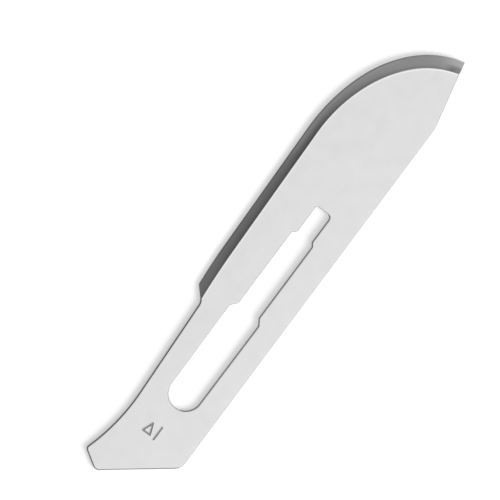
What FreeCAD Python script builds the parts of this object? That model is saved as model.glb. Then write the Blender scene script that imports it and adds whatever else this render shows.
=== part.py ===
import FreeCAD, Part
import math
import os

import Sketcher

# Detachable surgical scalpel blade with a broad curved belly, in one piece of thin steel sheet.
# It is made as the real one is: a blank is stamped from sheet, its corners and edges are
# tumbled round, and both sides are then ground and honed down to the cutting edge.
#
# The blade lies flat with its underside on Z = 0. +X runs along the slot to the point, and +Y is
# the side of the cutting edge. The origin is the centre of the slot's round rear end.
# All sizes are millimetres. Places along the blade are counted ahead of that centre or behind
# it, and heights and depths from the slot's axis towards the cutting edge or the back. A reach
# runs along the blade from one named place to the next.

PARTS_FOLDER = "parts"
SHEET_NAME = "Sizes"
NODE_NAME = "blade"
# Places that are closer together than this count as one
SAME_PLACE = 1e-4

DRIVING_SIZES = {
    # Steel sheet, and the rounding of its stamped edges
    "thickness": 0.40,
    "face_break": 0.14,
    # Back of the blade and its slanted point
    "spine_depth": 3.90,
    "point_reach": 6.63,
    "point_rise": 1.50,
    # Tail, cut off at a slant, with a short upper end
    "tail_foot_behind": 5.87,
    "tail_slant_reach": 4.91,
    "tail_end_reach": 1.22,
    "tail_end_rise": 1.95,
    "tail_foot_round": 1.10,
    "tail_corner_round": 0.60,
    "tail_top_round": 0.40,
    # Hollow sweep from the tail to the straight upper side of the tang
    "sweep_reach": 7.16,
    "sweep_fall": 0.96,
    "tang_rise": 0.49,
    # Notch in front of the tang, with its ramp up to the heel of the edge
    "notch_foot_ahead": 7.69,
    "notch_round": 1.00,
    "ramp_reach": 1.22,
    # Cutting edge: an arc at the heel, a straight run, and a belly of three arcs to the tip
    "edge_height": 5.41,
    "heel_reach": 4.35,
    "heel_drop": 0.26,
    "run_reach": 13.52,
    "run_rise": 0.32,
    "belly_reach": 6.52,
    "belly_drop": 1.03,
    "bend_reach": 4.20,
    "bend_drop": 2.47,
    "tip_reach": 2.83,
    # Ground bevel, which ends just above the notch's foot and grows wider to the point
    "bevel_above_foot": 0.09,
    "bevel_at_run": 1.04,
    "bevel_at_belly": 1.13,
    "bevel_at_bend": 1.23,
    "bevel_at_tip": 1.24,
    # Honed strip along the very edge
    "hone_width": 0.12,
    "hone_half_thickness": 0.035,
    # Slot for the handle: a round end, then three widths with a ramp between each two
    "slot_end_round": 1.60,
    "slot_rear_end": 9.06,
    "slot_rear_half": 1.65,
    "slot_rear_ramp": 0.64,
    "slot_middle_length": 8.27,
    "slot_middle_upper": 1.09,
    "slot_middle_lower": 1.24,
    "slot_middle_ramp": 0.35,
    "slot_front_length": 2.98,
    "slot_front_upper": 0.69,
    "slot_front_lower": 0.97,
    "slot_step_round": 0.20,
    "slot_upper_round": 0.15,
    "slot_lower_round": 0.40,
    # Steel that the blank has outside the edge, and how far the grinding passes run out
    "blank_allowance": 0.30,
    "blank_round": 0.20,
    "grind_run_out": 0.60,
    "notch_run_out": 0.30,
}

# The stations of the edge ahead of the heel, each with the size that gives the bevel's width.
BEVEL_AT = {
    "run_start": "bevel_at_run",
    "run_end": "bevel_at_run",
    "belly": "bevel_at_belly",
    "bend": "bevel_at_bend",
    "tip": "bevel_at_tip",
}

# The places along the outline and the slot, each from the one before it.
PLACES = {
    "heel_ahead": "notch_foot_ahead + ramp_reach",
    "heel_height": "edge_height - heel_drop",
    "run_start_ahead": "heel_ahead + heel_reach",
    "run_start_height": "edge_height",
    "run_end_ahead": "run_start_ahead + run_reach",
    "run_end_height": "edge_height + run_rise",
    "belly_ahead": "run_end_ahead + belly_reach",
    "belly_height": "run_end_height - belly_drop",
    "bend_ahead": "belly_ahead + bend_reach",
    "bend_height": "belly_height - bend_drop",
    "tip_ahead": "bend_ahead + tip_reach",
    "tip_height": "point_rise - spine_depth",
    "point_start_ahead": "tip_ahead - point_reach",
    "notch_foot_height": "edge_height - bevel_at_run - heel_drop - bevel_above_foot",
    "sweep_end_height": "notch_foot_height - tang_rise",
    "tail_top_height": "sweep_end_height + sweep_fall",
    "tail_corner_height": "tail_top_height - tail_end_rise",
    "tail_corner_behind": "tail_foot_behind + tail_slant_reach",
    "tail_top_behind": "tail_corner_behind - tail_end_reach",
    "sweep_end_behind": "tail_top_behind - sweep_reach",
    "slot_middle_start": "slot_rear_end + slot_rear_ramp",
    "slot_middle_end": "slot_middle_start + slot_middle_length",
    "slot_front_start": "slot_middle_end + slot_middle_ramp",
    "slot_front_end": "slot_front_start + slot_front_length",
}

# The direction of the edge at each station. An arc that leaves in a known direction turns by
# twice the angle to its chord.
DIRECTIONS = {
    "run_start_turn": (
        "atan2(run_end_height - run_start_height; run_end_ahead - run_start_ahead)"
    ),
    "run_end_turn": "run_start_turn",
    "belly_turn": (
        "2 * atan2(belly_height - run_end_height; belly_ahead - run_end_ahead) - run_end_turn"
    ),
    "bend_turn": (
        "2 * atan2(bend_height - belly_height; bend_ahead - belly_ahead) - belly_turn"
    ),
    "tip_turn": "2 * atan2(tip_height - bend_height; tip_ahead - bend_ahead) - bend_turn",
    "heel_turn": (
        "2 * atan2(run_start_height - heel_height; run_start_ahead - heel_ahead)"
        " - run_start_turn"
    ),
    "ramp_turn": "atan2(heel_height - notch_foot_height; heel_ahead - notch_foot_ahead)",
    "point_turn": "atan2(point_rise; point_reach)",
}


def derived_sizes():
    """Return the formulas of the places that follow from the driving sizes."""
    rows = {**PLACES, **DIRECTIONS}
    # Lines that follow the edge, each at its own distance inside it
    for line, fixed_inset in (
        ("shoulder", None),
        ("hone", "hone_width"),
        ("over", "-hone_width"),
        ("blank", "-blank_allowance"),
    ):
        for station, bevel in BEVEL_AT.items():
            inset = fixed_inset or bevel
            rows[f"{line}_{station}_ahead"] = f"{station}_ahead + {inset} * sin({station}_turn)"
            rows[f"{line}_{station}_height"] = f"{station}_height - {inset} * cos({station}_turn)"
    for line, inset in (("hone", "hone_width"), ("over", "-hone_width")):
        rows[f"{line}_heel_ahead"] = f"heel_ahead + {inset} * sin(heel_turn)"
        rows[f"{line}_heel_height"] = f"heel_height - {inset} * cos(heel_turn)"
    # The shoulder ends on the notch, just above its foot
    rows["shoulder_heel_ahead"] = "notch_foot_ahead"
    rows["shoulder_heel_height"] = "notch_foot_height + bevel_above_foot"
    # The blank's heel and tip lie further out on the lines of the ramp and the slanted point
    rows["blank_heel_ahead"] = "heel_ahead + blank_allowance * cos(ramp_turn)"
    rows["blank_heel_height"] = "heel_height + blank_allowance * sin(ramp_turn)"
    rows["blank_tip_ahead"] = "tip_ahead + blank_allowance * cos(point_turn)"
    rows["blank_tip_height"] = "tip_height + blank_allowance * sin(point_turn)"
    # Reach of the grinding passes
    rows["grind_rear"] = "notch_foot_ahead - notch_run_out"
    rows["grind_front"] = "tip_ahead + grind_run_out"
    rows["grind_top"] = "run_end_height + grind_run_out"
    rows["grind_bottom"] = "tip_height - grind_run_out"
    return rows


def fill_sheet(document):
    """Write the driving sizes and the formulas into a sheet, each with its own alias."""
    sheet = document.addObject("Spreadsheet::Sheet", SHEET_NAME)
    contents = {name: str(value) for name, value in DRIVING_SIZES.items()}
    contents.update({name: f"={formula}" for name, formula in derived_sizes().items()})
    for row, (name, content) in enumerate(contents.items(), start=1):
        sheet.set(f"A{row}", name)
        sheet.setAlias(f"B{row}", name)
        sheet.set(f"B{row}", content)
    document.recompute()
    return sheet


def cell_value(sheet, cell):
    """Return the number in a named cell, or its opposite when the name has a leading minus."""
    value = sheet.get(cell.lstrip("-"))
    number = float(getattr(value, "Value", value))
    return -number if cell.startswith("-") else number


class Curve:
    """A drawn line or arc, with the ends at which it starts and finishes along the outline."""

    START = 1
    END = 2
    CENTRE = 3

    def __init__(self, index, backward=False):
        self.index = index
        self.first = self.END if backward else self.START
        self.last = self.START if backward else self.END


class Drawing:
    """A sketch on the blade's middle plane, or above it, with its sizes bound to the sheet."""

    AXES = -1
    ORIGIN_POINT = 1

    def __init__(self, body, sheet, name, height=None):
        self.sheet = sheet
        self.sketch = body.newObject("Sketcher::SketchObject", name)
        planes = {feature.Role: feature for feature in body.Origin.OriginFeatures}
        self.sketch.AttachmentSupport = [(planes["XY_Plane"], "")]
        self.sketch.MapMode = "FlatFace"
        if height:
            self.sketch.setExpression("AttachmentOffset.Base.z", height)

    def size(self, cell):
        """The number in a named cell, or its opposite when the name has a leading minus."""
        return cell_value(self.sheet, cell)

    def at(self, place):
        """The point whose place and height are a pair of named cells."""
        along, height = place
        return FreeCAD.Vector(self.size(along), self.size(height), 0)

    def station(self, line, name):
        """The pair of cells of one station of a line that follows the edge."""
        return f"{line}_{name}_ahead", f"{line}_{name}_height"

    def bind(self, kind, value_cell, *ends):
        """Add a constraint whose value is a named cell."""
        constraint = Sketcher.Constraint(kind, *ends, self.size(value_cell))
        index = self.sketch.addConstraint(constraint)
        minus = "-" if value_cell.startswith("-") else ""
        formula = f"{minus}{SHEET_NAME}.{value_cell.lstrip('-')}"
        self.sketch.setExpression(f"Constraints[{index}]", formula)

    def hold(self, place, curve, end):
        """Hold one end of a curve at a pair of named cells."""
        along, height = place
        self.bind("DistanceX", along, self.AXES, self.ORIGIN_POINT, curve.index, end)
        self.bind("DistanceY", height, self.AXES, self.ORIGIN_POINT, curve.index, end)

    def join(self, one, other):
        """Start one curve where the other finishes."""
        self.sketch.addConstraint(
            Sketcher.Constraint("Coincident", one.index, one.last, other.index, other.first)
        )

    def smooth(self, one, other):
        """Start one curve where the other finishes, in the same direction."""
        self.sketch.addConstraint(
            Sketcher.Constraint("Tangent", one.index, one.last, other.index, other.first)
        )

    def line(self, start, end):
        """Draw a straight line between two points."""
        return Curve(self.sketch.addGeometry(Part.LineSegment(start, end), False))

    def arc(self, centre, start, end, clockwise=True):
        """Draw an arc about a centre between two points."""
        first, last = (end, start) if clockwise else (start, end)
        angles = [math.atan2(p.y - centre.y, p.x - centre.x) for p in (first, last)]
        circle = Part.Circle(centre, FreeCAD.Vector(0, 0, 1), centre.distanceToPoint(start))
        index = self.sketch.addGeometry(Part.ArcOfCircle(circle, *angles), False)
        return Curve(index, backward=clockwise)

    def start_of(self, curve):
        """The point at which a drawn curve starts."""
        return self.sketch.getPoint(curve.index, curve.first)

    def end_of(self, curve):
        """The point at which a drawn curve finishes."""
        return self.sketch.getPoint(curve.index, curve.last)

    def path(self, start, places, end):
        """Draw straight lines from start to end through places that are held at their cells."""
        points = [start, *(self.at(place) for place in places), end]
        lines = [self.line(one, other) for one, other in zip(points, points[1:])]
        for one, other in zip(lines, lines[1:]):
            self.join(one, other)
        for place, curve in zip(places, lines[1:]):
            self.hold(place, curve, curve.first)
        return lines

    def pass_through(self, place, curve):
        """Make a curve pass through a place."""
        mark = Curve(self.sketch.addGeometry(Part.Point(self.at(place)), True))
        self.hold(place, mark, mark.first)
        self.sketch.addConstraint(
            Sketcher.Constraint("PointOnObject", mark.index, mark.first, curve.index)
        )


def centre_of_arc(start, turn, through):
    """Return the centre of the arc that leaves start in the direction turn and passes a point.

    It is clockwise, so its centre lies to the right of that direction.
    """
    right = FreeCAD.Vector(math.sin(turn), -math.cos(turn), 0)
    chord = through - start
    radius = chord.dot(chord) / (2 * chord.dot(right))
    return start + right * radius


def draw_edge_line(drawing, line, runs_out):
    """Draw one line that follows the cutting edge, from the heel to the tip.

    A line for grinding passes through its heel and tip and runs out beyond them. The blank's
    line starts and ends there.
    """
    cells = {
        name: drawing.station(line, name)
        for name in ("heel", "run_start", "run_end", "belly", "bend", "tip")
    }
    point = {name: drawing.at(place) for name, place in cells.items()}
    run_turn = math.atan2(
        point["run_end"].y - point["run_start"].y, point["run_end"].x - point["run_start"].x
    )

    # Arc at the heel, which ends in the direction of the straight run
    centre = centre_of_arc(point["run_start"], run_turn, point["heel"])
    start = point["heel"]
    if runs_out:
        rear = drawing.size("grind_rear")
        rise = math.sqrt(centre.distanceToPoint(start) ** 2 - (rear - centre.x) ** 2)
        start = FreeCAD.Vector(rear, centre.y + rise, 0)
    curves = [drawing.arc(centre, start, point["run_start"])]
    curves.append(drawing.line(point["run_start"], point["run_end"]))

    # Belly: three arcs, each leaving in the direction in which the curve before it ends
    turn = run_turn
    for name_from, name_to in (("run_end", "belly"), ("belly", "bend"), ("bend", "tip")):
        centre = centre_of_arc(point[name_from], turn, point[name_to])
        end = point[name_to]
        if runs_out and name_to == "tip":
            bottom = drawing.size("grind_bottom")
            reach = math.sqrt(centre.distanceToPoint(end) ** 2 - (bottom - centre.y) ** 2)
            end = FreeCAD.Vector(centre.x + reach, bottom, 0)
        curves.append(drawing.arc(centre, point[name_from], end))
        chord = point[name_to] - point[name_from]
        turn = 2 * math.atan2(chord.y, chord.x) - turn

    heel_arc, run, belly_arc, bend_arc, tip_arc = curves
    for one, other in zip(curves, curves[1:]):
        drawing.smooth(one, other)
    drawing.hold(cells["run_start"], run, run.first)
    drawing.hold(cells["run_end"], run, run.last)
    drawing.hold(cells["belly"], belly_arc, belly_arc.last)
    drawing.hold(cells["bend"], bend_arc, bend_arc.last)
    if runs_out:
        drawing.pass_through(cells["heel"], heel_arc)
        drawing.pass_through(cells["tip"], tip_arc)
    else:
        drawing.hold(cells["heel"], heel_arc, heel_arc.first)
        drawing.hold(cells["tip"], tip_arc, tip_arc.last)
    return curves


def draw_blank(body, sheet):
    """Draw the outline of the stamped blank."""
    drawing = Drawing(body, sheet, "BlankOutline")
    edge = draw_edge_line(drawing, "blank", runs_out=False)
    tail_top = ("-tail_top_behind", "tail_top_height")
    sweep_end = ("-sweep_end_behind", "sweep_end_height")
    notch_foot = ("notch_foot_ahead", "notch_foot_height")

    # Slanted point, back, slanted tail and its short upper end
    back = drawing.path(
        drawing.end_of(edge[-1]),
        [
            ("point_start_ahead", "-spine_depth"),
            ("-tail_foot_behind", "-spine_depth"),
            ("-tail_corner_behind", "tail_corner_height"),
        ],
        drawing.at(tail_top),
    )
    # Upper side of the tang and the notch's ramp
    tang = drawing.path(drawing.at(sweep_end), [notch_foot], drawing.start_of(edge[0]))
    # Hollow sweep between them, which runs on smoothly into the tang
    rearward = drawing.at(sweep_end) - drawing.at(notch_foot)
    turn = math.atan2(rearward.y, rearward.x)
    centre = centre_of_arc(drawing.at(sweep_end), turn, drawing.at(tail_top))
    sweep = drawing.arc(centre, drawing.at(tail_top), drawing.at(sweep_end), clockwise=False)

    drawing.hold(tail_top, sweep, sweep.first)
    drawing.hold(sweep_end, tang[0], tang[0].first)
    drawing.join(back[-1], sweep)
    drawing.smooth(sweep, tang[0])
    drawing.join(tang[-1], edge[0])
    drawing.join(edge[-1], back[0])
    return drawing.sketch


def draw_slot(body, sheet):
    """Draw the slot: a round rear end, and walls that step in twice towards the front."""
    drawing = Drawing(body, sheet, "SlotOutline")
    radius = drawing.size("slot_end_round")
    corner = drawing.at(("slot_rear_end", "slot_rear_half"))
    # The walls leave the round end where they touch it
    touch = math.atan2(corner.y, corner.x) + math.acos(radius / corner.Length)
    upper = FreeCAD.Vector(radius * math.cos(touch), radius * math.sin(touch), 0)
    lower = FreeCAD.Vector(upper.x, -upper.y, 0)
    rear = drawing.arc(FreeCAD.Vector(0, 0, 0), upper, lower, clockwise=False)
    walls = drawing.path(
        lower,
        [
            ("slot_rear_end", "-slot_rear_half"),
            ("slot_middle_start", "-slot_middle_lower"),
            ("slot_middle_end", "-slot_middle_lower"),
            ("slot_front_start", "-slot_front_lower"),
            ("slot_front_end", "-slot_front_lower"),
            ("slot_front_end", "slot_front_upper"),
            ("slot_front_start", "slot_front_upper"),
            ("slot_middle_end", "slot_middle_upper"),
            ("slot_middle_start", "slot_middle_upper"),
            ("slot_rear_end", "slot_rear_half"),
        ],
        upper,
    )
    drawing.sketch.addConstraint(
        Sketcher.Constraint(
            "Coincident", rear.index, Curve.CENTRE, drawing.AXES, drawing.ORIGIN_POINT
        )
    )
    drawing.bind("Radius", "slot_end_round", rear.index)
    drawing.smooth(rear, walls[0])
    drawing.smooth(walls[-1], rear)
    return drawing.sketch


def draw_grinding(body, sheet, name, line, height):
    """Draw what a grinding pass takes away at one height: all outside a line along the edge."""
    drawing = Drawing(body, sheet, name, height)
    edge = draw_edge_line(drawing, line, runs_out=True)
    around = drawing.path(
        drawing.end_of(edge[-1]),
        [
            ("grind_front", "grind_bottom"),
            ("grind_front", "grind_top"),
            ("grind_rear", "grind_top"),
        ],
        drawing.start_of(edge[0]),
    )
    axes = (drawing.AXES, drawing.ORIGIN_POINT)
    drawing.bind("DistanceY", "grind_bottom", *axes, edge[-1].index, edge[-1].last)
    drawing.bind("DistanceX", "grind_rear", *axes, edge[0].index, edge[0].first)
    drawing.join(edge[-1], around[0])
    drawing.join(around[-1], edge[0])
    return drawing.sketch


def upright_edges(feature, sheet, places):
    """Return the names of the edges that stand upright at the given places of the outline."""
    names = []
    for along, height in places:
        here = FreeCAD.Vector(cell_value(sheet, along), cell_value(sheet, height), 0)
        for number, edge in enumerate(feature.Shape.Edges, start=1):
            ends = [FreeCAD.Vector(vertex.X, vertex.Y, 0) for vertex in edge.Vertexes]
            if len(ends) == 2 and all(end.distanceToPoint(here) < SAME_PLACE for end in ends):
                names.append(f"Edge{number}")
    if len(names) != len(places):
        raise RuntimeError(f"{feature.Name}: {len(names)} of {len(places)} corners found")
    return names


def flat_sides(feature):
    """Return the names of the blade's two flat sides, which face up and down."""
    names = []
    box = feature.Shape.BoundBox
    for number, face in enumerate(feature.Shape.Faces, start=1):
        at_top = abs(face.BoundBox.ZMin - box.ZMax) < SAME_PLACE
        at_bottom = abs(face.BoundBox.ZMax - box.ZMin) < SAME_PLACE
        if at_top or at_bottom:
            names.append(f"Face{number}")
    return names


def round_edges(body, base, name, names, radius):
    """Round the named edges of the body by one of the sheet's radii."""
    fillet = body.newObject("PartDesign::Fillet", name)
    fillet.Base = (base, names)
    fillet.setExpression("Radius", f"{SHEET_NAME}.{radius}")
    body.Document.recompute()
    return fillet


def stamp_blank(body, sheet):
    """Stamp the blank with its slot, then round its corners and break its edges."""
    blank = body.newObject("PartDesign::Pad", "Blank")
    blank.Profile = draw_blank(body, sheet)
    blank.SideType = "Symmetric"
    blank.setExpression("Length", f"{SHEET_NAME}.thickness")

    slot = body.newObject("PartDesign::Pocket", "Slot")
    slot.Profile = draw_slot(body, sheet)
    slot.SideType = "Symmetric"
    slot.Type = "ThroughAll"
    body.Document.recompute()

    feature = slot
    for name, radius, places in (
        ("TailFoot", "tail_foot_round", [("-tail_foot_behind", "-spine_depth")]),
        (
            "TailCorner",
            "tail_corner_round",
            [("-tail_corner_behind", "tail_corner_height")],
        ),
        ("TailTop", "tail_top_round", [("-tail_top_behind", "tail_top_height")]),
        ("NotchFoot", "notch_round", [("notch_foot_ahead", "notch_foot_height")]),
        (
            "BlankCorners",
            "blank_round",
            [
                ("blank_heel_ahead", "blank_heel_height"),
                ("blank_tip_ahead", "blank_tip_height"),
            ],
        ),
        (
            "SlotSteps",
            "slot_step_round",
            [
                (place, height)
                for place, upper, lower in (
                    ("slot_rear_end", "slot_rear_half", "-slot_rear_half"),
                    ("slot_middle_start", "slot_middle_upper", "-slot_middle_lower"),
                    ("slot_middle_end", "slot_middle_upper", "-slot_middle_lower"),
                    ("slot_front_start", "slot_front_upper", "-slot_front_lower"),
                )
                for height in (upper, lower)
            ],
        ),
        ("SlotUpperCorner", "slot_upper_round", [("slot_front_end", "slot_front_upper")]),
        ("SlotLowerCorner", "slot_lower_round", [("slot_front_end", "-slot_front_lower")]),
    ):
        feature = round_edges(
            body, feature, name, upright_edges(feature, sheet, places), radius
        )
    return round_edges(body, feature, "EdgeBreak", flat_sides(feature), "face_break")


def grind_edge(body, sheet):
    """Grind the bevel and hone the edge on the upper side, then the same on the underside."""
    ground = body.newObject("PartDesign::SubtractiveLoft", "GroundBevel")
    ground.Profile = draw_grinding(
        body, sheet, "ShoulderLine", "shoulder", f"{SHEET_NAME}.thickness / 2"
    )
    hone_line = draw_grinding(
        body, sheet, "HoneLine", "hone", f"{SHEET_NAME}.hone_half_thickness"
    )
    beyond_edge = draw_grinding(
        body, sheet, "BeyondEdge", "over", f"-{SHEET_NAME}.hone_half_thickness"
    )
    ground.Sections = [hone_line, beyond_edge]
    ground.Ruled = True
    body.Document.recompute()

    other_side = body.newObject("PartDesign::Mirrored", "OtherSide")
    other_side.Originals = [ground]
    planes = {feature.Role: feature for feature in body.Origin.OriginFeatures}
    other_side.MirrorPlane = (planes["XY_Plane"], [""])
    body.Tip = other_side
    body.Document.recompute()
    return other_side


def make_blade(document, sheet):
    """Make the blade as one body that rests on its underside."""
    body = document.addObject("PartDesign::Body", "Blade")
    body.Label = NODE_NAME
    blank = stamp_blank(body, sheet)
    ground = grind_edge(body, sheet)
    if not ground.Shape.Volume < blank.Shape.Volume:
        raise RuntimeError("grinding took nothing off the blank")
    body.setExpression("Placement.Base.z", f"{SHEET_NAME}.thickness / 2")
    document.recompute()
    return body


def check(document, body):
    """Stop if any object failed, or the blade isn't one sound solid."""
    for item in document.Objects:
        if "Invalid" in item.State or "Error" in item.State:
            raise RuntimeError(f"{item.Name} failed: {item.State}")
    shape = body.Shape
    if shape.isNull() or not shape.isValid() or len(shape.Solids) != 1:
        raise RuntimeError(f"{body.Label} isn't one sound solid")


def main():
    """Build the blade, check it and write its shape."""
    document = FreeCAD.newDocument("ScalpelBlade")
    sheet = fill_sheet(document)
    body = make_blade(document, sheet)
    check(document, body)
    os.makedirs(PARTS_FOLDER, exist_ok=True)
    body.Shape.exportStep(f"{PARTS_FOLDER}/{body.Label}.step")
    print(f"{body.Label}: volume {body.Shape.Volume:.2f} mm3, {len(body.Shape.Faces)} faces")


main()
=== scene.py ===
"""Looks of a detachable surgical scalpel blade, in one piece of thin steel sheet.

The blade is stamped and tumbled, then ground on both sides and honed. It lies flat on its
underside, with +X along its slot to the point and +Y on the side of the cutting edge.
"""

import logging
import math
from dataclasses import dataclass, field
from enum import Enum

import bmesh
import bpy
import numpy as np
from mathutils import Matrix, Vector, geometry


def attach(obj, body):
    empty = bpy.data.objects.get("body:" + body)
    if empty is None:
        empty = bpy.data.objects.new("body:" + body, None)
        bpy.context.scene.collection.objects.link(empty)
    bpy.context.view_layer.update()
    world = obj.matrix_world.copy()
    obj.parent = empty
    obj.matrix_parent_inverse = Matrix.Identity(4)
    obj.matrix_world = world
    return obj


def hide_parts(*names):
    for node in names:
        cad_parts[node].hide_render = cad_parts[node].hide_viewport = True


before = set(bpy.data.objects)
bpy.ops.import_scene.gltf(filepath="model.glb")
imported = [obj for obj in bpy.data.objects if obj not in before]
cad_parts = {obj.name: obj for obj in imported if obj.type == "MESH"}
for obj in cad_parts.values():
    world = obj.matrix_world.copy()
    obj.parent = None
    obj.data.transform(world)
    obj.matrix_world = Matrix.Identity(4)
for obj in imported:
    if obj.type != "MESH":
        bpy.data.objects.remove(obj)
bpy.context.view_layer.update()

# Lines on the blade are arrays of places, each a row of two numbers in millimetres: how far it
# is ahead of the centre of the slot's round end, and how far from the slot's axis.
Points = np.ndarray
Place = tuple[float, float]

# The stops of a ramp are pairs of a place on it, from 0 to 1, and the number read off there.
Stops = tuple[tuple[float, float], ...]

MM = 0.001
CORNER_STEPS = 12
BREAK_STEPS = 10
SMOOTH_LIMIT = math.radians(12)
MERGE_GAP = 1e-6


class Zone(Enum):
    """The parts of the surface that have a finish of their own."""

    FACE = 0
    BEVEL = 1
    HONED = 2
    RIDGE = 3
    # The stamped and punched walls turned away from the light carry painted shade, partly the
    # darker look of their rough steel and partly shade.
    SHEARED = 4
    PUNCHED = 5
    # The walls turned to the blade's back, where the light comes from, carry painted light.
    BACK = 6
    GROOVE = 7


def heading(start: Place, end: Place) -> float:
    """The direction from one place to another, in radians."""
    return math.atan2(end[1] - start[1], end[0] - start[0])


def lengths(line: Points) -> Points:
    """The length of a line up to each of its points."""
    steps = np.linalg.norm(np.diff(line, axis=0), axis=1)
    return np.concatenate([[0.0], np.cumsum(steps)])


def at(line: Points, positions: Points) -> Points:
    """The places at positions on a line, which are counted in its points."""
    count = np.arange(len(line))
    return np.column_stack([np.interp(positions, count, line[:, axis]) for axis in (0, 1)])


def spaced(line: Points, first: float, last: float, count: int) -> Points:
    """Positions that are evenly spaced along a stretch of a line.

    Args:
        line: The line's points.
        first: Where the stretch starts, counted in the line's points.
        last: Where it ends.
        count: How many positions there are, its ends among them.

    Returns:
        The positions, counted in the line's points.
    """
    run = lengths(line)
    order = np.arange(len(line))
    start, end = np.interp([first, last], order, run)
    return np.interp(np.linspace(start, end, count), run, order)


def crossing(one: Points, other: Points) -> tuple[float, float]:
    """Find where two lines cross.

    Args:
        one: Points of a line.
        other: Points of another line.

    Returns:
        Where each line has the crossing, counted in its points.
    """
    one_step, other_step = (np.diff(line, axis=0) for line in (one, other))
    for i, (start, step) in enumerate(zip(one, one_step)):
        area = step[0] * other_step[:, 1] - step[1] * other_step[:, 0]
        gap = other[:-1] - start
        along_one = (gap[:, 0] * other_step[:, 1] - gap[:, 1] * other_step[:, 0]) / area
        along_other = (gap[:, 0] * step[1] - gap[:, 1] * step[0]) / area
        met = (along_one >= 0) & (along_one <= 1) & (along_other >= 0) & (along_other <= 1)
        if met.any():
            j = int(np.argmax(met))
            return i + along_one[j], j + along_other[j]
    raise ValueError("the lines don't cross")


def inset(line: Points, distance: float, closed: bool = False) -> Points:
    """Move a line sideways into the steel, which lies on its right.

    Args:
        line: The line's points.
        distance: How far it moves, everywhere the same.
        closed: Whether the line runs on from its last point to its first.

    Returns:
        The moved points.
    """
    around = np.vstack([line[-1:], line, line[:1]]) if closed else line
    steps = np.diff(around, axis=0)
    rights = np.column_stack([steps[:, 1], -steps[:, 0]])
    rights /= np.linalg.norm(rights, axis=1)[:, None]
    if not closed:
        rights = np.vstack([rights[:1], rights, rights[-1:]])
    before, after = rights[:-1], rights[1:]
    middle = before + after
    return line + distance * middle / (1 + (before * after).sum(axis=1))[:, None]


@dataclass(frozen=True)
class Arc:
    """An arc that leaves one place in a known direction and ends at another."""

    start: Place
    turn: float
    end: Place

    @property
    def half_bend(self) -> float:
        """Half of the angle that the arc turns by."""
        return math.remainder(heading(self.start, self.end) - self.turn, math.tau)

    @property
    def end_turn(self) -> float:
        """The direction in which the arc ends."""
        return self.turn + 2 * self.half_bend

    def points(self, shares: Points) -> Points:
        """Place points along the arc.

        Args:
            shares: Shares of its length: 0 at its start, 1 at its end, more beyond it.

        Returns:
            A point at each share.
        """
        radius = math.dist(self.start, self.end) / (2 * math.sin(self.half_bend))
        turns = self.turn + 2 * self.half_bend * shares
        return np.column_stack(
            [
                self.start[0] + radius * (np.sin(turns) - math.sin(self.turn)),
                self.start[1] - radius * (np.cos(turns) - math.cos(self.turn)),
            ]
        )


def shortened(line: Points, front: float, back: float) -> Points:
    """Cut lengths off the two ends of a line.

    Args:
        line: The line's points.
        front: The length to cut off its start.
        back: The length to cut off its end.

    Returns:
        The points of what is left.
    """
    run = lengths(line)
    first, last = np.interp([front, run[-1] - back], run, np.arange(len(line)))
    inner = line[math.floor(first) + 1 : math.ceil(last)]
    ends = at(line, np.array([first, last]))
    return np.vstack([ends[:1], inner, ends[1:]])


def joined(legs: list[Points], radii: list[float]) -> Points:
    """Join legs end to end into one line.

    Args:
        legs: The legs' points, each leg starting where the one before it ends.
        radii: The radius that rounds each corner between two legs, or 0 to leave it.

    Returns:
        The line's points.
    """
    line = legs[0]
    for leg, radius in zip(legs[1:], radii):
        if radius == 0:
            line = np.vstack([line, leg[1:]])
            continue
        turn = heading(line[-2], line[-1])
        bend = abs(math.remainder(heading(leg[0], leg[1]) - turn, math.tau))
        reach = radius * math.tan(bend / 2)
        line, leg = shortened(line, 0, reach), shortened(leg, reach, 0)
        corner = Arc(tuple(line[-1]), turn, tuple(leg[0]))
        line = np.vstack([line, corner.points(np.linspace(0, 1, CORNER_STEPS + 1)[1:-1]), leg])
    return line


@dataclass(frozen=True)
class Level:
    """One height on the surface, above or below the sheet's middle plane.

    Attributes:
        height: How far it is from the middle plane.
        break_inset: How far inside the stamped outline the surface has that height.
        bevel_rise: How far up the bevel it is, from 0 at the honed strip to 1 at the flat side.
            It is less than 0 on the honed strip, and more than 1 inside the flat side's rim.
    """

    height: float
    break_inset: float
    bevel_rise: float


@dataclass(frozen=True)
class SteelSheet:
    """The sheet that the blade is stamped from, with its edges broken by tumbling.

    Attributes:
        face_break: The radius to which tumbling rounded the stamped edges.
        sheared_inset: How far inside the outline the rounding keeps the wall's tone: painted shade
            where it is turned away from the light, painted light where it is turned to the back.
        hone_half_thickness: Half of the steel's thickness where the honed strip ends.
        rim_share: How far the flat side's rim reaches past the shoulder, as a share of the
            bevel's width.
        rim_inset: How far that rim reaches inside the broken edge.
    """

    thickness: float = 0.40
    face_break: float = 0.14
    sheared_inset: float = 0.11
    hone_half_thickness: float = 0.035
    rim_share: float = 0.10
    rim_inset: float = 0.03

    def levels(self) -> list[Level]:
        """List the heights of the surface.

        Returns:
            The levels, from the middle plane to just inside the flat side.
        """
        half = self.thickness / 2
        wall = half - self.face_break
        bevel_height = half - self.hone_half_thickness
        levels = [Level(0.0, 0.0, -1.0), Level(self.hone_half_thickness, 0.0, 0.0)]
        for turn in np.linspace(0, math.pi / 2, BREAK_STEPS + 1):
            height = wall + self.face_break * math.sin(turn)
            rise = (height - self.hone_half_thickness) / bevel_height
            levels.append(Level(height, self.face_break * (1 - math.cos(turn)), min(rise, 1.0)))
        levels.append(Level(half, self.face_break + self.rim_inset, 1 + self.rim_share))
        return levels


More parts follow.
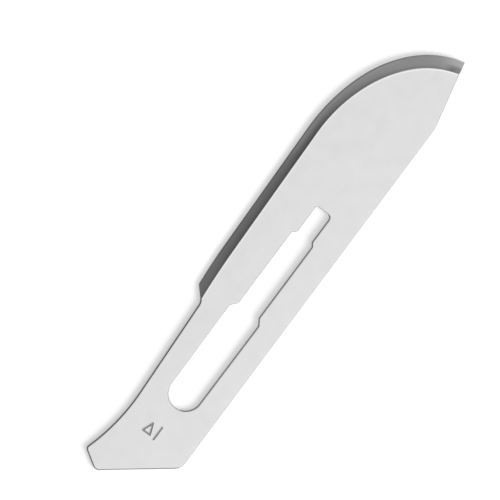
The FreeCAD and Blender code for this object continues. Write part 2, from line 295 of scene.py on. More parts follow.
@dataclass(frozen=True)
class CuttingEdge:
    """The ground edge: an arc at the heel, a straight run and a belly of three arcs.

    Attributes:
        bevel_widths: The bevel's width at the two ends of the run, the belly's two joints and
            the tip.
        hollow: Pairs of a length along the edge and how hollow the wheel left the bevel there:
            at 0.3 the slope is 30% less at the honed strip and 30% more at the shoulder.
        shoulder_round: How far the rounding of the shoulder reaches to each side of it, as a
            share of the bevel's width.
    """

    heel: Place = (8.91, 5.15)
    run_start: Place = (13.26, 5.41)
    run_end: Place = (26.78, 5.73)
    belly: Place = (33.30, 4.70)
    bend: Place = (37.50, 2.23)
    tip: Place = (40.33, -2.40)
    bevel_heel: Place = (7.69, 4.11)
    bevel_widths: tuple[float, ...] = (0.97, 0.96, 1.10, 1.23, 1.24)
    hone_width: float = 0.12
    hollow: tuple[Place, ...] = (
        (2.0, 0.05), (5.0, 0.15), (14.0, 0.15), (16.5, 0.42), (20.0, 0.28),
        (22.0, 0.18), (27.0, 0.12), (30.0, 0.01), (32.0, 0.01), (34.2, 0.35),
    )
    shoulder_round: float = 0.05
    run_out: float = 0.1
    steps: tuple[int, ...] = (24, 12, 32, 28, 24)

    def arcs(self, heel: Place, places: list[Place]) -> list[Arc]:
        """Lay tangent arcs along the edge, or along a line beside it.

        Args:
            heel: Where the line ends at the heel.
            places: The two ends of the straight run, the belly's two joints, and the tip.

        Returns:
            The arc back from the run to the heel, then those on to the tip.
        """
        run_start, run_end = places[:2]
        run_turn = heading(run_start, run_end)
        arcs = [Arc(run_start, run_turn + math.pi, heel)]
        turn = run_turn
        for start, end in zip(places[1:], places[2:]):
            arcs.append(Arc(start, turn, end))
            turn = arcs[-1].end_turn
        return arcs

    def line(self, insets: tuple[float, ...], heel: Place | None = None) -> Points:
        """Draw a line that follows the edge at some distance inside it, from heel to tip.

        Args:
            insets: Its distance from the edge at the two ends of the straight run, the two
                joints of the belly, and the tip.
            heel: Its place at the heel, or None where the first inset holds there too.

        Returns:
            The line's points, with a run-out at either end.
        """
        places = [self.run_start, self.run_end, self.belly, self.bend, self.tip]
        arcs = self.arcs(self.heel, places)
        turns = [arcs[1].turn, *(arc.turn for arc in arcs[1:]), arcs[-1].end_turn]
        moved = [
            (place[0] + gap * math.sin(turn), place[1] - gap * math.cos(turn))
            for place, turn, gap in zip(places, turns, insets)
        ]
        heel_turn = arcs[0].end_turn - math.pi
        heel = heel or (
            self.heel[0] + insets[0] * math.sin(heel_turn),
            self.heel[1] - insets[0] * math.cos(heel_turn),
        )
        arcs = self.arcs(heel, moved)
        heel_steps, run_steps, *belly_steps = self.steps
        back = arcs[0].points(np.linspace(0, 1 + self.run_out, heel_steps + 1))
        line = [back[::-1], np.linspace(moved[0], moved[1], run_steps + 1)[1:]]
        reaches = [1.0, 1.0, 1 + self.run_out]
        for arc, steps, reach in zip(arcs[1:], belly_steps, reaches):
            line.append(arc.points(np.linspace(0, reach, steps + 1)[1:]))
        return np.vstack(line)

    def lines(self) -> tuple[Points, Points, Points]:
        """Draw the lines that bound the ground steel.

        Returns:
            The edge itself, the inner side of the honed strip, and the bevel's shoulder.
        """
        count = len(self.bevel_widths)
        return (
            self.line((0.0,) * count),
            self.line((self.hone_width,) * count),
            self.line(self.bevel_widths, self.bevel_heel),
        )

    def line_at(self, rise: float) -> Points:
        """Draw the line along the bevel where it has one share of its rise.

        Args:
            rise: The share of its rise, as in a level.

        Returns:
            The line's points, which match those of the edge.
        """
        edge, hone, shoulder = self.lines()
        if rise < 0:
            return hone + (hone - edge) * rise
        across = self.across(rise, lengths(edge))
        return hone + (shoulder - hone) * across[:, None]

    def across(self, rise: float, along: Points) -> Points:
        """Where the bevel has one share of its rise.

        Args:
            rise: The share of its rise, as in a level.
            along: Lengths along the edge.

        Returns:
            For each length, the share of the bevel's width: 0 at the honed strip, 1 at the
            shoulder, more on the flat side.
        """
        if rise > 1:
            return np.full(len(along), rise + self.shoulder_round)
        hollow = np.interp(along, *np.array(self.hollow).T)
        flatter = 1 - hollow
        ground = (np.sqrt(flatter**2 + 4 * hollow * rise) - flatter) / (2 * hollow)
        before_shoulder = (1 - rise) / (1 + hollow)
        worn = 1 + self.shoulder_round - 2 * np.sqrt(self.shoulder_round * before_shoulder)
        return np.where(before_shoulder < self.shoulder_round, worn, ground)

    @property
    def run_start_index(self) -> int:
        """Which point of such a line is the start of the straight run."""
        return self.steps[0]

    @property
    def bend_index(self) -> int:
        """Which point of such a line is the start of its last arc."""
        return sum(self.steps[:-1])


@dataclass(frozen=True)
class StampedOutline:
    """The stamped outline, from the tip round the back and the tail to the heel."""

    point_start: Place = (33.70, -3.90)
    tail_foot: Place = (-5.87, -3.90)
    tail_corner: Place = (-10.78, 2.54)
    tail_top: Place = (-9.56, 4.49)
    sweep_end: Place = (-2.40, 3.53)
    notch_foot: Place = (7.69, 4.02)
    tail_foot_round: float = 1.10
    tail_corner_round: float = 0.60
    tail_top_round: float = 0.40
    notch_round: float = 1.00
    sweep_steps: int = 24
    run_out: float = 0.1

    def line(self, tip: Place, heel: Place) -> Points:
        """Draw the outline round the stamped sides.

        Args:
            tip: Where it meets the cutting edge at the tip.
            heel: Where it meets the cutting edge at the heel.

        Returns:
            The outline's points, with a run-out beyond the tip and beyond the heel.
        """
        beyond_tip = np.array(tip) + self.run_out * (np.array(tip) - self.point_start)
        beyond_heel = np.array(heel) + self.run_out * (np.array(heel) - self.notch_foot)
        rearward = heading(self.notch_foot, self.sweep_end)
        sweep = Arc(self.sweep_end, rearward, self.tail_top)
        legs = [
            np.array([beyond_tip, self.point_start]),
            np.array([self.point_start, self.tail_foot]),
            np.array([self.tail_foot, self.tail_corner]),
            np.array([self.tail_corner, self.tail_top]),
            sweep.points(np.linspace(1, 0, self.sweep_steps + 1)),
            np.array([self.sweep_end, self.notch_foot]),
            np.array([self.notch_foot, beyond_heel]),
        ]
        tail = [self.tail_foot_round, self.tail_corner_round, self.tail_top_round]
        return joined(legs, [0, *tail, 0, self.notch_round])

    def notch_index(self, line: Points) -> int:
        """Which point of the outline is the start of the notch's rounding."""
        return len(line) - CORNER_STEPS - 2


@dataclass(frozen=True)
class HandleSlot:
    """The slot for the handle: a round end, and walls that step in twice to the front."""

    end_round: float = 1.60
    rear_end: float = 9.06
    rear_half: float = 1.65
    middle_start: float = 9.70
    middle_end: float = 17.97
    middle_upper: float = 1.09
    middle_lower: float = 1.24
    front_start: float = 18.32
    front_end: float = 21.30
    front_upper: float = 0.69
    front_lower: float = 0.97
    step_round: float = 0.20
    upper_round: float = 0.15
    lower_round: float = 0.40
    end_steps: int = 24

    def line(self) -> Points:
        """Draw the slot's outline.

        Returns:
            Its points, all the way round from the rearmost one.
        """
        corner = (self.rear_end, self.rear_half)
        touch = heading((0, 0), corner) + math.acos(self.end_round / math.hypot(*corner))
        upper = (self.end_round * math.cos(touch), self.end_round * math.sin(touch))
        lower = (upper[0], -upper[1])
        rear = (-self.end_round, 0.0)
        around = [
            lower,
            (self.rear_end, -self.rear_half),
            (self.middle_start, -self.middle_lower),
            (self.middle_end, -self.middle_lower),
            (self.front_start, -self.front_lower),
            (self.front_end, -self.front_lower),
            (self.front_end, self.front_upper),
            (self.front_start, self.front_upper),
            (self.middle_end, self.middle_upper),
            (self.middle_start, self.middle_upper),
            corner,
            upper,
        ]
        shares = np.linspace(0, 1, self.end_steps + 1)
        down = Arc(rear, -math.pi / 2, lower).points(shares)
        up = Arc(rear, math.pi / 2, upper).points(shares)[::-1]
        legs = [down, *(np.array(ends) for ends in zip(around, around[1:])), up]
        steps = [self.step_round] * 4
        radii = [0, *steps, self.lower_round, self.upper_round, *steps, 0]
        return joined(legs, radii)[:-1]


@dataclass(frozen=True)
class IndexMark:
    """A plain index mark cut into the upper side near the tail: an arrowhead and a bar.

    Attributes:
        groove: The groove's section, as pairs of a distance from its middle line and a height
            above the upper side, from the flat beside its burr to its floor.
    """

    arrow_rear: float = -5.08
    arrow_tip: float = -4.03
    arrow_middle: float = 0.80
    arrow_half_width: float = 0.41
    arrow_round: float = 0.06
    bar_rear: Place = (-5.22, -0.14)
    bar_front: Place = (-3.86, -0.14)
    groove: tuple[Place, ...] = (
        (0.18, 0.0), (0.15, 0.0), (0.11, 0.004), (0.085, 0.0), (0.04, -0.035),
    )
    end_steps: int = 10

    def arrow(self, distance: float) -> Points:
        """Draw a line round the arrowhead, with its outside on the right.

        Args:
            distance: How far the line lies outside the middle line of the groove.

        Returns:
            The line's points, as many at any distance.
        """
        length = self.arrow_tip - self.arrow_rear
        slant = math.hypot(length, self.arrow_half_width)
        inner_radius = length * self.arrow_half_width / (slant + self.arrow_half_width)
        scale = 1 + distance / inner_radius
        rear = self.arrow_rear - distance
        tip = rear + length * scale
        half_width = self.arrow_half_width * scale
        corners = [
            (rear, self.arrow_middle),
            (rear, self.arrow_middle - half_width),
            (tip, self.arrow_middle),
            (rear, self.arrow_middle + half_width),
            (rear, self.arrow_middle),
        ]
        legs = [np.array(ends) for ends in zip(corners, corners[1:])]
        return joined(legs, [self.arrow_round * scale] * 3)[:-1]

    def bar(self, half_width: float) -> Points:
        """Draw a line round the bar, with its outside on the right.

        Args:
            half_width: How far the line lies outside the middle line of the groove.

        Returns:
            The line's points, as many at any half width.
        """
        turns = np.linspace(-math.pi / 2, math.pi / 2, self.end_steps)
        front = np.column_stack([np.cos(turns), np.sin(turns)]) * half_width
        return np.vstack([front + self.bar_front, self.bar_rear - front])


def placed(name: str, data: bpy.types.ID) -> bpy.types.Object:
    """Make an object and put it in the scene.

    Args:
        name: The object's name.
        data: What it shows.

    Returns:
        The object.
    """
    made = bpy.data.objects.new(name, data)
    bpy.context.scene.collection.objects.link(made)
    return made


class Skin:
    """The blade's surface as it is laid down, ring by ring and strip by strip."""

    def __init__(self) -> None:
        """Start with no surface."""
        self.mesh = bmesh.new()
        self.grinding = self.mesh.loops.layers.uv.new("grinding")

    def ring(self, line: Points, height: float) -> list[bmesh.types.BMVert]:
        """Lay down a line's points at one height, in millimetres."""
        return [self.mesh.verts.new((x * MM, y * MM, height * MM)) for x, y in line]

    def face(self, corners: list[bmesh.types.BMVert], zone: Zone) -> bmesh.types.BMFace:
        """Add a face.

        Args:
            corners: Its corners, anticlockwise as seen from outside the steel.
            zone: Its zone.

        Returns:
            The face.
        """
        face = self.mesh.faces.new(corners)
        face.material_index = zone.value
        face.smooth = True
        return face

    def strip(
        self,
        low: list[bmesh.types.BMVert],
        high: list[bmesh.types.BMVert],
        zones: list[Zone],
        grinding: tuple[list[Place], list[Place]] | None = None,
    ) -> None:
        """Join two closed rings by a strip of faces.

        Args:
            low: The ring that comes first on the way from the underside to the upper side.
            high: The other ring.
            zones: The zone of each face.
            grinding: For each ring, how far along the edge each point lies and the share of the
                bevel's width, or None for a strip that isn't ground.
        """
        for i, zone in enumerate(zones):
            j = (i + 1) % len(low)
            face = self.face([low[i], high[i], high[j], low[j]], zone)
            if grinding and j > 0:
                under, over = grinding
                for loop, place in zip(face.loops, (under[i], over[i], over[j], under[j])):
                    loop[self.grinding].uv = place

    def cap(self, rings: list[list[bmesh.types.BMVert]], upward: bool, zone: Zone) -> None:
        """Fill the flat area that lies inside an odd number of rings.

        Args:
            rings: Closed rings at one height.
            upward: Whether the area faces up.
            zone: Its zone.
        """
        corners = [vertex for ring in rings for vertex in ring]
        flat = [Vector((vertex.co.x, vertex.co.y)) / MM for vertex in corners]
        sides: list[tuple[int, int]] = []
        for ring in rings:
            first = len(sides)
            sides += [(first + i, first + (i + 1) % len(ring)) for i in range(len(ring))]
        _, _, triangles, origins, _, _ = geometry.delaunay_2d_cdt(
            flat, sides, [], 0, MERGE_GAP
        )
        places = np.array(flat)
        ends = places[np.array(sides)]
        for triangle in triangles:
            names = [origins[i][0] for i in triangle]
            if inside(places[names].mean(axis=0), ends):
                order = names if upward else names[::-1]
                self.face([corners[i] for i in order], zone)

    def finish(self, name: str) -> bpy.types.Object:
        """Mark the crisp edges and make the object.

        Args:
            name: The object's name.

        Returns:
            The object, in the scene.
        """
        self.mesh.normal_update()
        for edge in self.mesh.edges:
            zones = {face.material_index for face in edge.link_faces}
            honed = len(zones) > 1 and Zone.HONED.value in zones
            edge.smooth = not honed and edge.calc_face_angle(0.0) < SMOOTH_LIMIT
        data = bpy.data.meshes.new(name)
        self.mesh.to_mesh(data)
        self.mesh.free()
        piece = placed(name, data)
        weighted = piece.modifiers.new("flat sides stay flat", "WEIGHTED_NORMAL")
        weighted.keep_sharp = True
        return piece


def inside(place: Points, ends: np.ndarray) -> bool:
    """Tell whether a place lies inside an odd number of rings.

    Args:
        place: The place.
        ends: The two ends of each side of the rings.

    Returns:
        True where the count is odd.
    """
    x, y = place
    (x0, y0), (x1, y1) = ends[:, 0].T, ends[:, 1].T
    spans = (y0 > y) != (y1 > y)
    rise = np.where(spans, y1 - y0, 1.0)
    meets = x0 + (y - y0) / rise * (x1 - x0)
    return bool(np.count_nonzero(spans & (meets > x)) % 2)


class Socket:
    """A number in a shader, with Python's own signs for its maths."""

    def __init__(self, nodes: "Nodes", socket: bpy.types.NodeSocket) -> None:
        """Hold one output of a node."""
        self.nodes = nodes
        self.socket = socket

    def maths(self, operation: str, *numbers: "Socket | float") -> "Socket":
        """Work out a number from others by one Math node."""
        return self.nodes.node("ShaderNodeMath", {"operation": operation}, dict(enumerate(numbers)))

    def __add__(self, other: "Socket | float") -> "Socket":
        """This and another."""
        return self.maths("ADD", self, other)

    def __radd__(self, other: float) -> "Socket":
        """A number and this."""
        return self.maths("ADD", other, self)

    def __sub__(self, other: "Socket | float") -> "Socket":
        """This less another."""
        return self.maths("SUBTRACT", self, other)

    def __rsub__(self, other: float) -> "Socket":
        """A number less this."""
        return self.maths("SUBTRACT", other, self)

    def __mul__(self, other: "Socket | float") -> "Socket":
        """This times another."""
        return self.maths("MULTIPLY", self, other)

    def __rmul__(self, other: float) -> "Socket":
        """A number times this."""
        return self.maths("MULTIPLY", other, self)


class Nodes:
    """The nodes of one material or of the surroundings."""

    def __init__(self, tree: bpy.types.NodeTree) -> None:
        """Work in a node tree."""
        self.tree = tree

    def node(self, kind: str, settings: dict, inputs: dict, output: int | str = 0) -> Socket:
        """Add a node.

        Args:
            kind: The node's type.
            settings: Its settings, which are set first. The stops of a ramp are pairs of a
                place and a grey.
            inputs: The value of each input, or what it is linked to.
            output: Which of its outputs is wanted.

        Returns:
            That output.
        """
        node = self.tree.nodes.new(kind)
        for name, value in settings.items():
            if name == "stops":
                self.set_stops(node.color_ramp, value)
            else:
                setattr(node, name, value)
        for key, value in inputs.items():
            self.feed(node.inputs[key], value)
        return Socket(self, node.outputs[output])

    def set_stops(self, ramp: bpy.types.ColorRamp, stops: Stops) -> None:
        """Give a ramp its stops.

        Args:
            ramp: The ramp.
            stops: Pairs of a place and a grey.
        """
        while len(ramp.elements) < len(stops):
            ramp.elements.new(1.0)
        for element, (place, grey) in zip(ramp.elements, stops):
            element.position = place
            element.color = (grey, grey, grey, 1)

    def feed(self, target: bpy.types.NodeSocket, value: "Socket | float | tuple") -> None:
        """Link a socket, or set its value.

        Args:
            target: The socket.
            value: What it is linked to, or its value.
        """
        if isinstance(value, Socket):
            self.tree.links.new(value.socket, target)
        else:
            target.default_value = value

    def steel_place(self) -> Socket:
        """The place on the blade in millimetres, as a vector."""
        place = self.node("ShaderNodeTexCoord", {}, {}, "Object")
        return self.stretched(place, (1 / MM,) * 3)

    def stretched(self, place: Socket, scales: tuple[float, float, float]) -> Socket:
        """A place with each of its three numbers scaled."""
        return self.node("ShaderNodeVectorMath", {"operation": "MULTIPLY"}, {0: place, 1: scales})

    def noise(self, place: Socket, scale: float, detail: float = 3.0) -> Socket:
        """Cloudy noise about a half, at so many patches to the millimetre."""
        return self.node(
            "ShaderNodeTexNoise", {}, {"Vector": place, "Scale": scale, "Detail": detail}
        )

    def ramp(self, value: Socket, stops: Stops) -> Socket:
        """A number read off a ramp of stops."""
        return self.node("ShaderNodeValToRGB", {"stops": stops}, {"Fac": value})


@dataclass(frozen=True)
class SteelFinish:
    """What all the blade's finishes share: bare steel, with a tone and a roughness.

    Attributes:
        tone: How much light the steel throws back.
        mottle: How much the tone varies in clouds.
        grain: How much it varies from grain to grain.
        relief: How strongly the fine relief shows.
        roughness_spread: How much the roughness varies with the relief.
        cloud_scale: How many clouds there are to the millimetre, as grain_scale of grains.
        grain_detail: How finely the grains are broken up.
    """

    name: str
    tone: float
    roughness: float
    mottle: float = 0.02
    grain: float = 0.04
    relief: float = 0.1
    relief_depth: float = 0.01
    roughness_spread: float = 0.1
    cloud_scale: float = 0.7
    grain_scale: float = 14.0
    grain_detail: float = 2.0

    def material(self) -> bpy.types.Material:
        """Make the material.

        Returns:
            The material.
        """
        material = bpy.data.materials.new(self.name)
        material.use_nodes = True
        nodes = Nodes(material.node_tree)
        shader = material.node_tree.nodes["Principled BSDF"]
        shader.inputs["Metallic"].default_value = 1.0
        tone, roughness, height = self.surface(nodes)
        nodes.feed(shader.inputs["Base Color"], tone)
        nodes.feed(shader.inputs["Roughness"], roughness)
        relief = {"Strength": self.relief, "Distance": self.relief_depth * MM, "Height": height}
        nodes.feed(shader.inputs["Normal"], nodes.node("ShaderNodeBump", {}, relief))
        return material

    def surface(self, nodes: Nodes) -> tuple[Socket, Socket, Socket]:
        """Work out what varies over the surface.

        Args:
            nodes: The nodes of the material.

        Returns:
            The tone, the roughness and the height of the fine relief.
        """
        place = nodes.steel_place()
        cloud = nodes.noise(place, self.cloud_scale)
        grain = nodes.noise(place, self.grain_scale, self.grain_detail)
        tone = self.tone + (cloud - 0.5) * self.mottle + (grain - 0.5) * self.grain
        return tone, self.roughness + (grain - 0.5) * self.roughness_spread, grain


@dataclass(frozen=True)
class GroundFinish(SteelFinish):
    """A ground strip, with fine lines across it and a tone that changes along the edge and across
    it in painted reflection and painted shade.

    Attributes:
        lines: How strongly the fine lines show.
        length: The edge's length in millimetres.
        along: The share of the tone at shares of that length, which paints reflection: the bevel
            lighter or darker along the edge, as the surroundings that it faces would make it.
        across: The share of the tone at shares of the bevel's width, which paints shade: the bevel
            darker towards the shoulder.
        tip_shade: How much darker a cloudy patch of painted shade makes the bevel near the tip.
        tip_shade_along: How strong that painted shade is at shares of the edge's length.
        tip_shade_across: How strong it is at shares of the bevel's width.
        line_scales: How many fine lines there are to the millimetre along the edge, and to
            the bevel's width across it.
        line_detail: How finely the lines are broken up.
        cloud_scales: The same of clouds.
    """

    lines: float = 0.06
    length: float = 36.0
    # Painted reflection: the bevel's tone along the edge.
    along: Stops = (
        (0.0, 0.92), (0.13, 0.70), (0.42, 0.70), (0.50, 0.80), (0.60, 1.0),
        (0.80, 1.0), (0.87, 0.85), (0.91, 0.77), (0.945, 0.88), (0.985, 1.0),
    )
    # Painted shade: the bevel darker towards the shoulder.
    across: Stops = ((0.68, 1.0), (0.80, 0.90), (0.90, 0.80))
    # A cloudy patch of painted shade on the inner bevel near the tip, and how strong it is along
    # and across the edge.
    tip_shade: float = 0.36
    tip_shade_along: Stops = ((0.925, 0.0), (0.95, 1.0))
    tip_shade_across: Stops = ((0.40, 0.0), (0.58, 1.0))
    line_scales: tuple[float, float, float] = (22.0, 0.9, 1.0)
    line_detail: float = 4.0
    cloud_scales: tuple[float, float, float] = (0.6, 1.5, 1.0)

    def surface(self, nodes: Nodes) -> tuple[Socket, Socket, Socket]:
        """Work out what varies over the ground surface.

        Args:
            nodes: The nodes of the material.

        Returns:
            The tone, the roughness and the height of the fine lines.
        """
        place = nodes.node("ShaderNodeUVMap", {"uv_map": "grinding"}, {})
        along = nodes.node("ShaderNodeSeparateXYZ", {}, {0: place}, 0) * (1 / self.length)
        across = nodes.node("ShaderNodeSeparateXYZ", {}, {0: place}, 1)
        lines = nodes.noise(nodes.stretched(place, self.line_scales), 1.0, self.line_detail)
        cloud = nodes.noise(nodes.stretched(place, self.cloud_scales), 1.0)
        uneven = 1 + (lines - 0.5) * self.lines + (cloud - 0.5) * self.mottle
        # Painted reflection along the edge, times painted shade towards the shoulder.
        reflection_and_shade = nodes.ramp(along, self.along) * nodes.ramp(across, self.across)
        # A cloudy patch of painted shade on the inner bevel near the tip.
        tip_shade = nodes.ramp(along, self.tip_shade_along) * nodes.ramp(across, self.tip_shade_across)
        tone = self.tone * reflection_and_shade * uneven * (1 - tip_shade * cloud * (2 * self.tip_shade))
        return tone, self.roughness + (lines - 0.5) * self.roughness_spread, lines


FINISHES = {
    Zone.FACE: SteelFinish("tumbled steel", tone=0.818, roughness=0.30, mottle=0.08),
    # The ground and honed finishes carry painted reflection along the edge, painted shade towards
    # the shoulder and a patch of painted shade near the tip.
    Zone.BEVEL: GroundFinish("ground steel", tone=0.70, roughness=0.20, mottle=0.06),
    Zone.HONED: GroundFinish("honed steel", tone=0.85, roughness=0.30, mottle=0.03),
    Zone.RIDGE: SteelFinish("burnished steel", tone=0.90, roughness=0.24),
    # Painted shade: the stamped and punched walls turned away from the light are painted darker,
    # partly for their rough steel and partly for shade.
    Zone.SHEARED: SteelFinish("sheared steel in painted shade", tone=0.19, roughness=0.40, grain=0.10),
    Zone.PUNCHED: SteelFinish("punched steel in painted shade", tone=0.37, roughness=0.40, grain=0.10),
    # Painted light: the stamped walls turned to the blade's back, where the light comes from, are
    # painted lighter than those turned away.
    Zone.BACK: SteelFinish("back steel in painted light", tone=0.63, roughness=0.34, grain=0.08),
    Zone.GROOVE: SteelFinish("cut groove", tone=0.42, roughness=0.50, grain=0.08),
}


@dataclass(frozen=True)
class Blade:
    """The whole blade, which is a single piece.

    Attributes:
        end_points: How many points each end of the ground edge has.
        point_points: How many points the slant at the point has, and the ramp at the heel.
        outline_turn: How far a side of the outline may turn to the edge and still have the back's
            painted light rather than the wall's painted shade, from -1 for not at all to 1 for
            fully.
        slot_turn: The same for a wall of the slot.
    """

    sheet: SteelSheet = field(default_factory=SteelSheet)
    edge: CuttingEdge = field(default_factory=CuttingEdge)
    outline: StampedOutline = field(default_factory=StampedOutline)
    slot: HandleSlot = field(default_factory=HandleSlot)
    mark: IndexMark = field(default_factory=IndexMark)
    end_points: int = 16
    point_points: int = 14
    outline_turn: float = -0.8
    slot_turn: float = 0.3

    def contour(self, level: Level) -> tuple[Points, Points, int]:
        """Draw the blade's outline at one height.

        Args:
            level: The height.

        Returns:
            The outline's points from the heel to the tip and round to the heel again, how far
            the ground ones lie along the edge, and how many of them are ground.
        """
        edge = self.edge.line_at(level.bevel_rise)
        stamped = self.outline.line(self.edge.tip, self.edge.heel)
        notch = self.outline.notch_index(stamped)
        stamped = inset(stamped, level.break_inset)
        bend = self.edge.bend_index
        run_start = self.edge.run_start_index
        tip_on_edge, tip_on_stamped = crossing(edge[bend:], stamped[:2])
        heel_on_edge, heel_on_stamped = crossing(edge[: run_start + 1], stamped[notch:])
        ground = np.concatenate(
            [
                spaced(edge, heel_on_edge, run_start, self.end_points),
                np.arange(run_start + 1, bend),
                spaced(edge, bend, bend + tip_on_edge, self.end_points),
            ]
        )
        rest = np.concatenate(
            [
                spaced(stamped, tip_on_stamped, 1, self.point_points)[1:],
                np.arange(2, notch),
                spaced(stamped, notch, notch + heel_on_stamped, self.point_points)[:-1],
            ]
        )
        along = np.interp(ground, np.arange(len(edge)), lengths(self.edge.line_at(0.0)))
        return np.vstack([at(edge, ground), at(stamped, rest)]), along, len(ground)

    def zones(self, high: Level, ground: int, line: Points) -> list[Zone]:
        """Give each face between the outlines of two levels its zone.

        Args:
            high: The upper level.
            ground: How many of the outline's points are ground.
            line: The outline there.

        Returns:
            The zones, from the heel round to the heel.
        """
        if high.bevel_rise <= 0:
            bevel = Zone.HONED
        elif high.bevel_rise < 1:
            bevel = Zone.BEVEL
        else:
            bevel = Zone.RIDGE
        stamped = self.wall_zones(high, line, Zone.SHEARED, self.outline_turn)
        return [bevel] * (ground - 1) + stamped[ground - 1 :]

    def wall_zones(self, high: Level, line: Points, wall: Zone, turn: float) -> list[Zone]:
        """Give each face of a wall, just under a level, its zone.

        Args:
            high: The level.
            line: The wall's outline there, with the steel on its right.
            wall: The zone of the faces that aren't turned to the blade's back, which carry painted
                shade.
            turn: How far a face may turn to the edge and still be the back's, with its painted
                light.

        Returns:
            The face's zone where tumbling reached, else the wall's zone with its painted shade, or
            the back's with its painted light.
        """
        if high.break_inset > self.sheet.sheared_inset:
            return [Zone.FACE] * len(line)
        # Faces turned to the blade's back, the side the light comes from, get the back's painted
        # light; the rest keep the wall's painted shade.
        steps = np.roll(line, -1, axis=0) - line
        turned = steps[:, 0] < turn * np.hypot(*steps.T)
        return [Zone.BACK if back else wall for back in turned]

    def build(self) -> bpy.types.Object:
        """Build the blade's mesh and dress it.

        Returns:
            The blade.
        """
        skin = Skin()
        levels = self.sheet.levels()
        middle = self.sheet.thickness / 2
        slot_line = self.slot.line()
        sides: dict[int, list[list[bmesh.types.BMVert]]] = {}
        rim = skin.ring(self.contour(levels[0])[0], middle)
        slot_wall: dict[int, list[bmesh.types.BMVert]] = {}
        for side in (1, -1):
            low_ring, low = rim, levels[0]
            slot_low: list[bmesh.types.BMVert] = []
            for high in levels[1:]:
                height = middle + side * high.height
                line, along, ground = self.contour(high)
                high_ring = skin.ring(line, height)
                zones = self.zones(high, ground, line)
                low_places = self.grinding_places(low, along, len(line))
                high_places = self.grinding_places(high, along, len(line))
                if side > 0:
                    skin.strip(low_ring, high_ring, zones, (low_places, high_places))
                else:
                    skin.strip(high_ring, low_ring, zones, (high_places, low_places))
                low_ring, low = high_ring, high
                if high.bevel_rise <= 0 or high.break_inset == 0 and slot_low:
                    continue
                hole = inset(slot_line, high.break_inset, closed=True)
                slot_high = skin.ring(hole, height)
                if slot_low:
                    pair = (slot_low, slot_high) if side > 0 else (slot_high, slot_low)
                    zones = self.wall_zones(high, hole, Zone.PUNCHED, self.slot_turn)
                    skin.strip(*pair, zones)
                else:
                    slot_wall[side] = slot_high
                slot_low = slot_high
            sides[side] = [low_ring, slot_low]
        slot_zones = self.wall_zones(levels[0], slot_line, Zone.PUNCHED, self.slot_turn)
        skin.strip(slot_wall[-1], slot_wall[1], slot_zones)
        skin.cap(sides[-1], upward=False, zone=Zone.FACE)
        skin.cap([*sides[1], *self.cut_mark(skin)], upward=True, zone=Zone.FACE)
        piece = skin.finish("steel_blade")
        for zone in Zone:
            piece.data.materials.append(FINISHES[zone].material())
        return piece

    def grinding_places(self, level: Level, along: Points, total: int) -> list[Place]:
        """Find where the points of an outline lie on the ground steel.

        Args:
            level: The outline's level.
            along: How far each ground point lies along the edge.
            total: How many points the outline has.

        Returns:
            For each point, how far along the edge it lies and the share of the bevel's width.
        """
        width = self.edge.bevel_widths[0]
        strip = self.edge.hone_width / width
        rise = level.bevel_rise
        across = strip * (1 + rise) if rise < 0 else strip + (1 - strip) * rise
        lengths_along = [*along, *([0.0] * (total - len(along)))]
        return [(length, across) for length in lengths_along]

    def cut_mark(self, skin: Skin) -> list[list[bmesh.types.BMVert]]:
        """Cut the index mark's grooves.

        Args:
            skin: The blade's surface.

        Returns:
            The rings where the grooves meet the upper side.
        """
        top = self.sheet.thickness
        burr_to_floor = self.mark.groove
        zones = [Zone.FACE] * (len(burr_to_floor) - 2) + [Zone.GROOVE]
        across = [(-distance, height) for distance, height in burr_to_floor]
        across += burr_to_floor[::-1]
        rings = [skin.ring(self.mark.arrow(distance), top + height) for distance, height in across]
        for inner, outer, zone in zip(rings, rings[1:], [*zones, Zone.GROOVE, *zones[::-1]]):
            skin.strip(inner, outer, [zone] * len(outer))
        bars = [skin.ring(self.mark.bar(width), top + height) for width, height in burr_to_floor]
        for outer, inner, zone in zip(bars, bars[1:], zones):
            skin.strip(inner, outer, [zone] * len(outer))
        skin.face(bars[-1], Zone.GROOVE)
        return [rings[0], rings[-1], bars[0]]


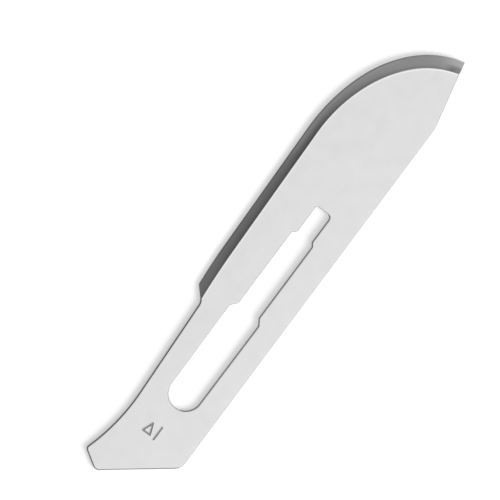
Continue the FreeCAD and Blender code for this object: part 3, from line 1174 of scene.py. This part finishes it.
@dataclass(frozen=True)
class Studio:
    """The pale floor, the soft light and the camera.

    Attributes:
        view_centre: The place at the middle of the view, in millimetres, as view_width is.
        view_turn: How far the view is turned about the camera's axis, in degrees.
        tilt: How far the camera leans from straight above to the cutting edge, in degrees.
        floor_size: The floor's side, in metres, as the lamp's side and place are.
        floor_gap: How far the floor lies under the blade, in millimetres.
        floor_fall: The floor's slight fall to the point, in radians.
        floor_glow: How much light of its own the floor gives.
        glow_strength: How strong the light from all around is.
        glow_from_back: That light from the edge's side, 0, round to the back's, 1.
        glow_from_point: The share of it from the tail's side, 0, round to the point's, 1.
        glow_overhead: The share of it from the level, 0, to straight above, 1.
        least_glow: The least light from the level, 0, to straight above, 1.
        least_from_point: The share of that from the tail's side, 0, to the point's, 1.
    """

    view_centre: Place = (14.30, 3.195)
    view_width: float = 46.6
    view_turn: float = -53.23
    lens: float = 300.0
    sensor: float = 36.0
    tilt: float = 6.0
    floor_size: float = 1.2
    floor_tone: float = 0.57
    floor_gap: float = 0.050
    floor_fall: float = 0.0035
    floor_glow: float = 0.445
    key_power: float = 6.95
    key_size: float = 0.5
    key_place: tuple[float, float, float] = (0.05, -0.6, 0.30)
    glow_strength: float = 1.298
    glow_from_back: Stops = (
        (0.0, 0.02), (0.29, 0.07), (0.36, 0.167), (0.40, 0.26), (0.44, 0.385),
        (0.5, 0.74), (0.62, 1.0),
    )
    glow_from_point: Stops = (
        (0.0, 0.9), (0.45, 0.88), (0.5, 0.94), (0.54, 1.0), (0.57, 0.98),
        (0.60, 0.70), (0.625, 0.53), (0.66, 0.55), (0.8, 0.8),
    )
    glow_overhead: Stops = ((0.0, 0.85), (0.3, 0.75), (0.5, 0.66), (0.88, 1.0))
    least_glow: Stops = ((0.0, 0.30), (0.55, 0.30), (0.86, 0.0))
    least_from_point: Stops = ((0.1, 0.25), (0.4, 1.0))

    @property
    def centre(self) -> Vector:
        """The place at the middle of the view, in metres."""
        return Vector((self.view_centre[0] * MM, self.view_centre[1] * MM, 0))

    def lay_floor(self) -> bpy.types.Object:
        """Lay the pale floor under the blade.

        Returns:
            The floor.
        """
        half = self.floor_size / 2
        data = bpy.data.meshes.new("floor")
        corners = [(-half, -half, 0), (half, -half, 0), (half, half, 0), (-half, half, 0)]
        data.from_pydata(corners, [], [(0, 1, 2, 3)])
        floor = placed("floor", data)
        floor.location.z = -self.floor_gap * MM
        floor.rotation_euler.y = self.floor_fall
        material = bpy.data.materials.new("pale floor")
        material.use_nodes = True
        looks = {
            "Base Color": (*(self.floor_tone,) * 3, 1),
            "Roughness": 1.0,
            "Specular IOR Level": 0.0,
            "Emission Color": (1, 1, 1, 1),
            "Emission Strength": self.floor_glow,
        }
        for name, value in looks.items():
            material.node_tree.nodes["Principled BSDF"].inputs[name].default_value = value
        data.materials.append(material)
        return floor

    def light_surroundings(self) -> None:
        """Light the blade softly, more from its back than from its edge."""
        world = bpy.data.worlds.new("studio")
        bpy.context.scene.world = world
        world.use_nodes = True
        nodes = Nodes(world.node_tree)
        direction = nodes.node("ShaderNodeTexCoord", {}, {}, "Generated")
        ahead, edgeward, up = (
            nodes.node("ShaderNodeSeparateXYZ", {}, {0: direction}, axis) for axis in range(3)
        )
        backward = 0.5 - edgeward * 0.5
        pointward = 0.5 + 0.5 * ahead
        beside = nodes.ramp(backward, self.glow_from_back)
        beside *= nodes.ramp(pointward, self.glow_from_point)
        glow = beside * nodes.ramp(up, self.glow_overhead)
        least = nodes.ramp(up, self.least_glow) * nodes.ramp(pointward, self.least_from_point)
        background = world.node_tree.nodes["Background"]
        nodes.feed(background.inputs["Color"], glow.maths("MAXIMUM", glow, least))
        background.inputs["Strength"].default_value = self.glow_strength

    def hang_key(self) -> bpy.types.Object:
        """Hang the large soft lamp beside the blade's back.

        Returns:
            The lamp.
        """
        data = bpy.data.lights.new("key", "AREA")
        data.size = self.key_size
        data.energy = self.key_power
        lamp = placed("key", data)
        lamp.location = self.key_place
        aim = self.centre - lamp.location
        lamp.rotation_euler = aim.to_track_quat("-Z", "Y").to_euler()
        lamp.visible_glossy = False
        return lamp

    def set_camera(self) -> bpy.types.Object:
        """Set the camera above the blade, turned as in the photograph.

        Returns:
            The camera.
        """
        data = bpy.data.cameras.new("camera")
        data.lens = self.lens
        data.sensor_width = self.sensor
        camera = placed("camera", data)
        distance = self.view_width * self.lens / self.sensor * MM
        tilt = math.radians(self.tilt)
        camera.location = self.centre + distance * Vector((0, math.sin(tilt), math.cos(tilt)))
        turn = Matrix.Rotation(math.radians(self.view_turn), 3, "Z")
        camera.rotation_euler = (Matrix.Rotation(-tilt, 3, "X") @ turn).to_euler()
        bpy.context.scene.camera = camera
        return camera


def main() -> None:
    """Build the blade and its studio, and report each piece."""
    logging.basicConfig(level=logging.INFO, format="%(message)s")
    log = logging.getLogger("scalpel blade")
    bpy.context.scene.view_settings.view_transform = "Standard"
    blade = Blade().build()
    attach(blade, "root")
    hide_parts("blade")
    log.info("%s: %d faces", blade.name, len(blade.data.polygons))
    studio = Studio()
    log.info("%s laid", studio.lay_floor().name)
    studio.light_surroundings()
    log.info("%s hung", studio.hang_key().name)
    log.info("%s set", studio.set_camera().name)


if __name__ == "__main__":
    main()
